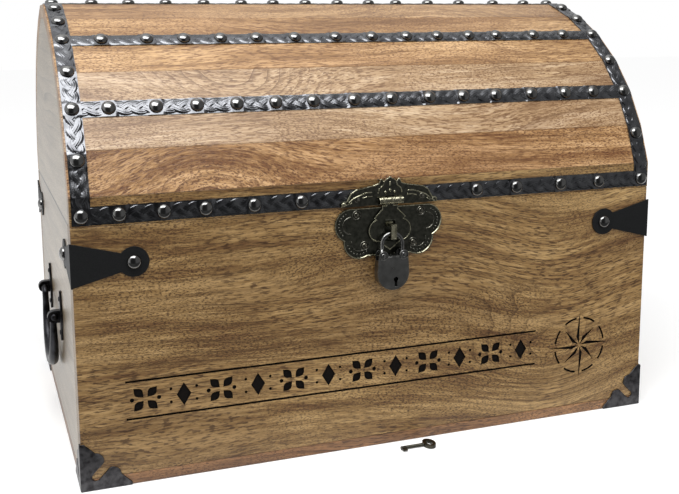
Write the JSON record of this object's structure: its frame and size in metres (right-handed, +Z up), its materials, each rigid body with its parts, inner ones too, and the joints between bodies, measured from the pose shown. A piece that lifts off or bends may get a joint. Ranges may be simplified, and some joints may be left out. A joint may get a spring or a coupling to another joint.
{
  "type": "treasure chest box",
  "caption": "Wooden chest box with a stave-built arched lid, studded metal strips, back hinges, hasp latch, small padlock, corner fittings, drop handles and a loose key.",
  "frame": {"origin": "middle of the bottom board's underside", "axes": "+X to the right of someone facing the chest, +Y to the back, +Z up"},
  "size_m": [0.4192, 0.2861, 0.2955],
  "materials": {
    "body_wood": "clear-waxed mango wood with open pores",
    "bottom_wood": "unfinished hardwood board, edges waxed",
    "lid_wood": "clear-waxed mango wood staves",
    "black_strip": "black-nickelled steel strip, embossed with a plait",
    "dark_nail": "dark polished steel dome heads",
    "antique_bronze": "antiqued brass, dark in the hollows and rubbed on the edges",
    "old_steel": "blackened steel, slightly rubbed",
    "hinge_steel": "blackened rolled steel",
    "black_bracket": "matt black painted steel",
    "guard_steel": "blued steel pressing",
    "handle_iron": "black painted cast bail"
  },
  "bodies": {
    "chest": {"front_panel": "body_wood", "back_panel": "body_wood", "left_side_panel": "body_wood", "right_side_panel": "body_wood", "bottom_board": "bottom_wood", "box_latch_plate": "antique_bronze", "latch_staple": "antique_bronze", "box_latch_nails": "antique_bronze", "hinge_box_leaves": "hinge_steel", "hinge_pins": "hinge_steel", "hinge_box_screws": "hinge_steel", "top_corner_brackets": "black_bracket", "bracket_nails": "dark_nail", "bottom_corner_protectors": "guard_steel", "left_handle_plates": "handle_iron", "right_handle_plates": "handle_iron", "handle_nails": "handle_iron"},
    "lid": {"front_rail": "lid_wood", "back_rail": "lid_wood", "stave_01": "lid_wood", "stave_02": "lid_wood", "stave_03": "lid_wood", "stave_04": "lid_wood", "stave_05": "lid_wood", "stave_06": "lid_wood", "stave_07": "lid_wood", "stave_08": "lid_wood", "stave_09": "lid_wood", "stave_10": "lid_wood", "stave_11": "lid_wood", "stave_12": "lid_wood", "stave_13": "lid_wood", "left_lid_end": "lid_wood", "right_lid_end": "lid_wood", "front_rim_strip": "black_strip", "lower_front_strip": "black_strip", "upper_front_strip": "black_strip", "top_strip": "black_strip", "upper_back_strip": "black_strip", "lower_back_strip": "black_strip", "back_rim_strips": "black_strip", "left_arched_band": "black_strip", "right_arched_band": "black_strip", "lid_nails": "dark_nail", "lid_latch_plate": "antique_bronze", "lid_latch_nails": "antique_bronze", "hasp_pin": "antique_bronze", "hinge_lid_leaves": "hinge_steel", "hinge_lid_screws": "hinge_steel"},
    "hasp": {"hasp": "antique_bronze"},
    "shackle": {"padlock_shackle": "old_steel"},
    "padlock_case": {"padlock_front_plate": "old_steel", "padlock_back_plate": "old_steel", "padlock_side_band": "old_steel", "padlock_rivets": "old_steel"},
    "lock_bolt": {"padlock_bolt": "old_steel"},
    "left_handle": {"left_handle_bail": "handle_iron"},
    "right_handle": {"right_handle_bail": "handle_iron"},
    "key": {"key": "old_steel"}
  },
  "joints": [
    {"name": "lid_hinge", "type": "hinge", "parent": "chest", "child": "lid", "pos_m": [0, 0.1316, 0.162], "axis": [-1, 0, 0], "range_deg": [0, 105]},
    {"name": "hasp_hinge", "type": "hinge", "parent": "lid", "child": "hasp", "pos_m": [0, -0.1321, 0.166], "axis": [-1, 0, 0], "range_deg": [0, 175]},
    {"name": "shackle_swing", "type": "hinge", "parent": "chest", "child": "shackle", "pos_m": [0, -0.1343, 0.13778], "axis": [0, 1, 0], "range_deg": [-35, 35]},
    {"name": "case_turn", "type": "hinge", "parent": "shackle", "child": "padlock_case", "pos_m": [-0.0071, -0.1343, 0.13098], "axis": [0, 1, 0], "range_deg": [0, 90]},
    {"name": "bolt_slide", "type": "slide", "parent": "padlock_case", "child": "lock_bolt", "axis": [-1, 0, 0], "range_m": [0, 0.0012], "stiffness_N_per_m": 50, "springref_m": -0.0005},
    {"name": "left_handle_swing", "type": "hinge", "parent": "chest", "child": "left_handle", "pos_m": [-0.2054, 0, 0.086], "axis": [0, 1, 0], "range_deg": [0, 180]},
    {"name": "right_handle_swing", "type": "hinge", "parent": "chest", "child": "right_handle", "pos_m": [0.2054, 0, 0.086], "axis": [0, -1, 0], "range_deg": [0, 180]},
    {"name": "key_lift", "type": "slide", "parent": "chest", "child": "key", "axis": [0, 0, 1], "range_m": [0, 0.1]}
  ]
}
